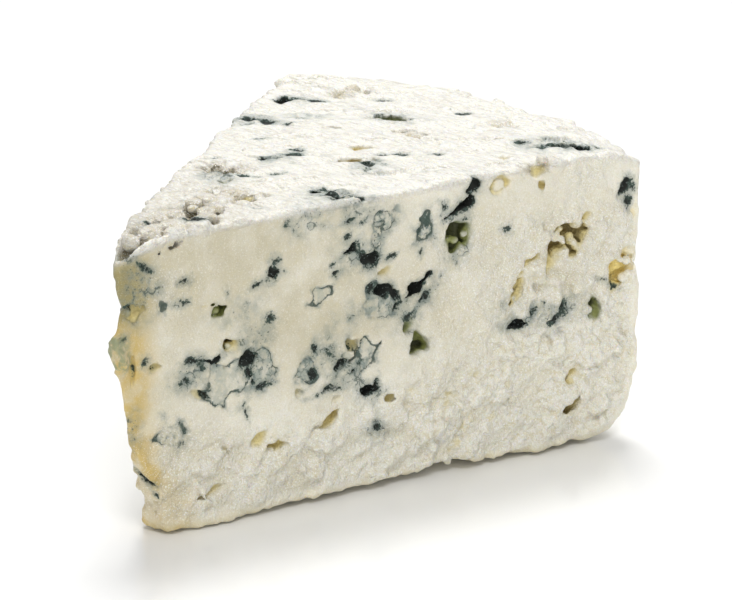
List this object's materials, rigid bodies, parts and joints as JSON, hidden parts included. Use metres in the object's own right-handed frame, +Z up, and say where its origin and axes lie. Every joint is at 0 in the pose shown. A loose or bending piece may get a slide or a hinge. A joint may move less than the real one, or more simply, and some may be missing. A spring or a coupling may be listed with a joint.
{
  "type": "blue cheese wedge",
  "caption": "Thick wedge of crumbly ivory blue cheese with blue-green mould hollows on its cut faces, a level cut top and a pale rounded rind.",
  "frame": {"origin": "middle of the box's base, on the surface that the wedge stands on", "axes": "+Z up, +Y from the tip towards the rind, +X to the side face that the front view shows"},
  "size_m": [0.0758, 0.106, 0.054],
  "materials": {
    "cheese": "moist crumbly ivory curd with blue-green mould, slightly translucent"
  },
  "bodies": {
    "root": {"cheese_wedge": "cheese"}
  },
  "joints": []
}
